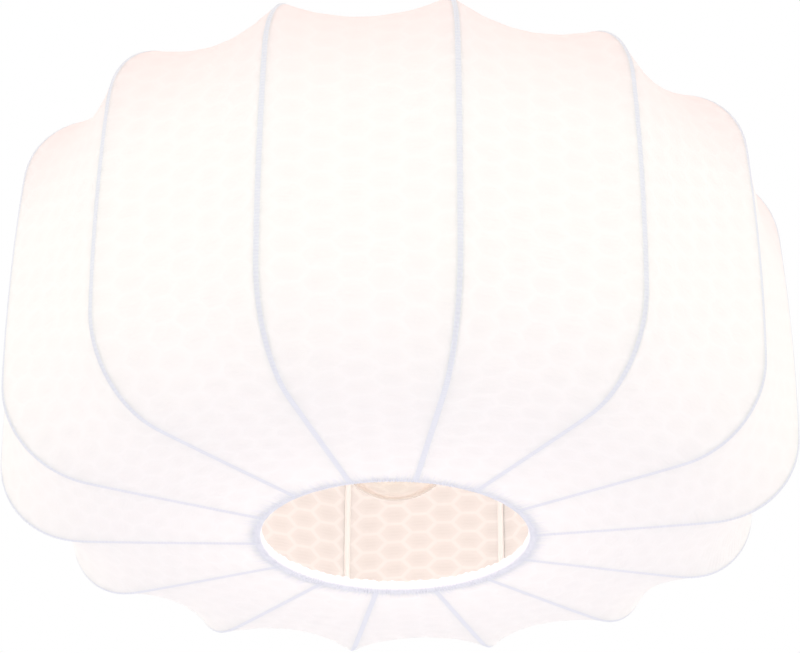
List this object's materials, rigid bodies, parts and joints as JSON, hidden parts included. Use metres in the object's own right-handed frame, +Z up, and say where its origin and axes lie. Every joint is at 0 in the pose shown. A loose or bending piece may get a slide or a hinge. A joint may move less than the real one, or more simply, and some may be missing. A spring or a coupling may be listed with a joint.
{
  "type": "ceiling lantern",
  "caption": "Round ceiling lantern with a stretched knit skin on bent wire ribs, a round bottom mouth, and a clear globe bulb hanging from a ceiling canopy.",
  "frame": {"origin": "middle of the ceiling bracket's top face, where the lantern meets the ceiling", "axes": "+Z up into the ceiling, along the lantern's axis; -Y towards the viewer, through the middle of panel_01; +X to the right"},
  "size_m": [0.6014, 0.5866, 0.314],
  "materials": {
    "knit_fabric": "matt stretch knit with a honeycomb pattern",
    "white_wire": "satin white lacquer",
    "white_steel": "satin white powder coat",
    "zinc_steel": "bright zinc plate",
    "brass": "plain brass",
    "nickel": "nickel plate",
    "cream_plastic": "moulded, fine grain",
    "ceramic": "white glaze",
    "clear_glass": "clear",
    "black_glass": "black vitrite",
    "filament": "warm phosphor",
    "brown_insulation": "satin",
    "blue_insulation": "satin"
  },
  "bodies": {
    "lantern": {"bottom_hem": "knit_fabric", "bottom_ring": "white_wire", "canopy": "white_steel", "canopy_nut_lower": "zinc_steel", "canopy_nut_upper": "zinc_steel", "ceiling_bracket": "zinc_steel", "centre_contact": "brass", "ceramic_base": "ceramic", "hub_nut": "zinc_steel", "hub_plate": "white_steel", "lampholder_cap": "cream_plastic", "lampholder_skirt": "cream_plastic", "lead_live": "brown_insulation", "lead_neutral": "blue_insulation", "panel_01": "knit_fabric", "panel_02": "knit_fabric", "panel_03": "knit_fabric", "panel_04": "knit_fabric", "panel_05": "knit_fabric", "panel_06": "knit_fabric", "panel_07": "knit_fabric", "panel_08": "knit_fabric", "panel_09": "knit_fabric", "panel_10": "knit_fabric", "panel_11": "knit_fabric", "panel_12": "knit_fabric", "panel_13": "knit_fabric", "panel_14": "knit_fabric", "rib_01": "white_wire", "rib_02": "white_wire", "rib_03": "white_wire", "rib_04": "white_wire", "rib_05": "white_wire", "rib_06": "white_wire", "rib_07": "white_wire", "rib_08": "white_wire", "rib_09": "white_wire", "rib_10": "white_wire", "rib_11": "white_wire", "rib_12": "white_wire", "rib_13": "white_wire", "rib_14": "white_wire", "spider_arm_1": "white_wire", "spider_arm_2": "white_wire", "spider_arm_3": "white_wire", "stem_tube": "zinc_steel", "terminal_block": "cream_plastic", "threaded_shell": "brass", "top_hem": "knit_fabric", "top_ring": "white_wire"},
    "bulb_tip": {"bulb_tip": "nickel"},
    "bulb": {"bulb_glass": "clear_glass", "bulb_cap": "nickel", "cap_insulator": "black_glass", "bulb_stem": "clear_glass", "bulb_filament": "filament"},
    "washer_right": {"canopy_washer_right": "zinc_steel"},
    "screw_right": {"canopy_screw_right": "brass"},
    "washer_left": {"canopy_washer_left": "zinc_steel"},
    "screw_left": {"canopy_screw_left": "brass"}
  },
  "joints": [
    {"name": "bulb_drop", "type": "slide", "parent": "lantern", "child": "bulb_tip", "axis": [0, 0, -1], "range_m": [0, 0.02177]},
    {"name": "bulb_turn", "type": "hinge", "parent": "bulb_tip", "child": "bulb", "pos_m": [0, 0, -0.1548], "axis": [0, 0, -1], "range_deg": [0, 2160]},
    {"name": "screw_out_right", "type": "slide", "parent": "lantern", "child": "washer_right", "axis": [1, 0, 0], "range_m": [0, 0.007]},
    {"name": "screw_turn_right", "type": "hinge", "parent": "washer_right", "child": "screw_right", "pos_m": [0.09, 0, -0.017], "axis": [1, 0, 0], "range_deg": [0, 3600]},
    {"name": "screw_out_left", "type": "slide", "parent": "lantern", "child": "washer_left", "axis": [-1, 0, 0], "range_m": [0, 0.007]},
    {"name": "screw_turn_left", "type": "hinge", "parent": "washer_left", "child": "screw_left", "pos_m": [-0.09, 0, -0.017], "axis": [-1, 0, 0], "range_deg": [0, 3600]}
  ],
  "couplings": [
    {"joint": "bulb_drop", "follows": "bulb_turn", "m_per_rad": 0.00057757},
    {"joint": "screw_turn_right", "follows": "screw_out_right", "rad_per_m": 8976},
    {"joint": "screw_turn_left", "follows": "screw_out_left", "rad_per_m": 8976}
  ]
}
